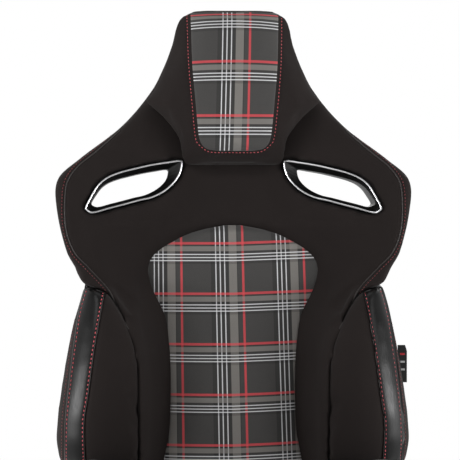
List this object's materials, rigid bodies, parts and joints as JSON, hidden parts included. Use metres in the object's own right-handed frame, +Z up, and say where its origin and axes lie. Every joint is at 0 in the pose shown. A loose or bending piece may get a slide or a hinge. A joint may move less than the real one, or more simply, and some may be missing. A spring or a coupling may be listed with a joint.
{
  "type": "racing seat",
  "caption": "Reclining bucket racing seat with wing bolsters, twin belt slots, headrest pillow and plaid inserts, on latched slide rails.",
  "frame": {"origin": "centre of the four mounting holes, on the rails' underside", "axes": "+Z up, -Y the way the seat faces, +X to the right of someone facing the seat's front"},
  "size_m": [0.5503, 0.527, 0.895],
  "materials": {
    "suede": "soft matt suede",
    "plaid": "woven cloth",
    "leather": "semi-gloss grained",
    "tag_cloth": "woven tape",
    "black_steel": "satin powder coat",
    "zinc_steel": "zinc plated",
    "chrome": "polished",
    "bronze": "satin",
    "black_plastic": "fine grain"
  },
  "bodies": {
    "floor_rails": {"lower_rail_left": "black_steel", "lower_rail_right": "black_steel", "lock_strip_left": "zinc_steel", "lock_strip_right": "zinc_steel", "rail_end_caps": "black_plastic"},
    "ball_cages": {"ball_cage_left": "zinc_steel", "ball_cage_right": "zinc_steel"},
    "seat_base": {"upper_rail_left": "black_steel", "upper_rail_right": "black_steel", "side_frame_left": "black_steel", "side_frame_right": "black_steel", "seat_cross_tubes": "black_steel", "seat_springs": "zinc_steel", "frame_bolts": "zinc_steel", "recliner_plate_left": "black_steel", "recliner_plate_right": "black_steel", "recliner_bolts": "zinc_steel", "pivot_bushes": "bronze", "power_springs": "zinc_steel", "recliner_cover_left": "black_plastic", "recliner_cover_right": "black_plastic", "return_springs": "zinc_steel", "seat_pad": "suede", "seat_insert": "plaid"},
    "slide_release": {"release_bar": "black_steel", "latch_lever_left": "zinc_steel", "latch_lever_right": "zinc_steel"},
    "lever": {"sync_shaft": "zinc_steel", "release_cam_left": "zinc_steel", "release_cam_right": "zinc_steel", "recline_lever": "black_steel", "lever_grip": "black_plastic"},
    "pawl_left": {"pawl_left": "zinc_steel"},
    "pawl_right": {"pawl_right": "zinc_steel"},
    "backrest": {"back_frame": "black_steel", "head_frame": "black_steel", "back_springs": "zinc_steel", "recliner_arm_left": "zinc_steel", "recliner_arm_right": "zinc_steel", "arm_bolts": "zinc_steel", "pivot_shafts": "zinc_steel", "back_pad": "suede", "back_insert": "plaid", "back_bolster_left": "suede", "back_bolster_right": "suede", "bolster_strip_left": "leather", "bolster_strip_right": "leather", "head_pillow": "suede", "head_panel": "plaid", "side_tag": "tag_cloth", "slot_bead_left": "chrome", "slot_bead_right": "chrome", "slot_bezel_left": "black_plastic", "slot_bezel_right": "black_plastic", "rear_bezels": "black_plastic", "back_shell": "black_plastic"}
  },
  "joints": [
    {"name": "seat_slide", "type": "slide", "parent": "floor_rails", "child": "seat_base", "axis": [0, -1, 0], "range_m": [-0.09, 0.09]},
    {"name": "cage_slide", "type": "slide", "parent": "floor_rails", "child": "ball_cages", "axis": [0, -1, 0], "range_m": [-0.045, 0.045]},
    {"name": "recline", "type": "hinge", "parent": "seat_base", "child": "backrest", "pos_m": [0, 0.2, 0.15], "axis": [-1, 0, 0], "range_deg": [-15, 60]},
    {"name": "lever_turn", "type": "hinge", "parent": "seat_base", "child": "lever", "pos_m": [0, 0.14, 0.084], "axis": [-1, 0, 0], "range_deg": [0, 25], "stiffness_Nm_per_rad": 2, "springref_deg": -20.05},
    {"name": "pawl_left_turn", "type": "hinge", "parent": "seat_base", "child": "pawl_left", "pos_m": [-0.216, 0.139, 0.138], "axis": [-1, 0, 0], "range_deg": [0, 6.5]},
    {"name": "pawl_right_turn", "type": "hinge", "parent": "seat_base", "child": "pawl_right", "pos_m": [0.216, 0.139, 0.138], "axis": [-1, 0, 0], "range_deg": [0, 6.5]},
    {"name": "release_lift", "type": "hinge", "parent": "seat_base", "child": "slide_release", "pos_m": [0, 0.06, 0.022], "axis": [-1, 0, 0], "range_deg": [0, 6], "stiffness_Nm_per_rad": 2, "springref_deg": -17.19}
  ],
  "couplings": [
    {"joint": "cage_slide", "follows": "seat_slide", "ratio": 0.5},
    {"joint": "pawl_left_turn", "follows": "lever_turn", "ratio": 0.24},
    {"joint": "pawl_right_turn", "follows": "lever_turn", "ratio": 0.24}
  ]
}
